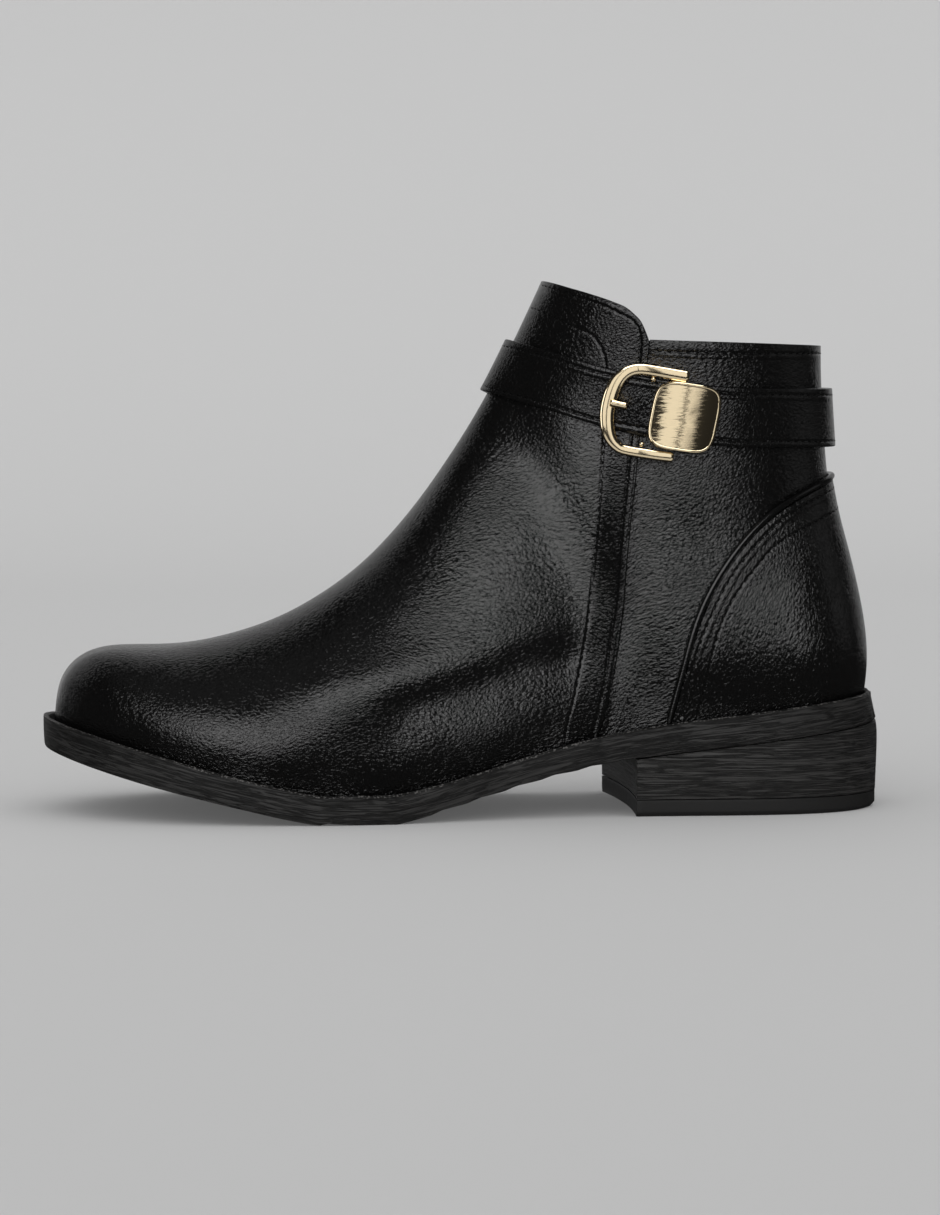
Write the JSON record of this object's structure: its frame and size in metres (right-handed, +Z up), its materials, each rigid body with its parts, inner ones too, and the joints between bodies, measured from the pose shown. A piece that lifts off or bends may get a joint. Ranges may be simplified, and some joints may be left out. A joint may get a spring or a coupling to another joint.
{
  "type": "casual boot",
  "caption": "Low ankle boot with a smooth hollow upper, a wrapped ankle strap with a plate buckle, a shaped sole and a block heel.",
  "frame": {"origin": "on the floor, under the middle of the boot's box", "axes": "+X from the toe towards the heel, +Y towards the inner side of this left boot, +Z up"},
  "size_m": [0.2672, 0.0904, 0.1679],
  "materials": {
    "black_leather": "finely grained, semi-gloss",
    "black_sole": "matt, with fine lengthwise streaks",
    "black_rubber": "matt",
    "black_lining": "matt",
    "pale_gold": "polished, with a brushed plate"
  },
  "bodies": {
    "root": {"upper": "black_leather", "heel_counter": "black_leather", "counter_piping": "black_leather", "strap": "black_leather", "outsole": "black_sole", "heel": "black_sole", "heel_top_piece": "black_rubber", "insole": "black_lining", "buckle_frame": "pale_gold", "buckle_prong": "pale_gold", "buckle_plate": "pale_gold"}
  },
  "joints": []
}
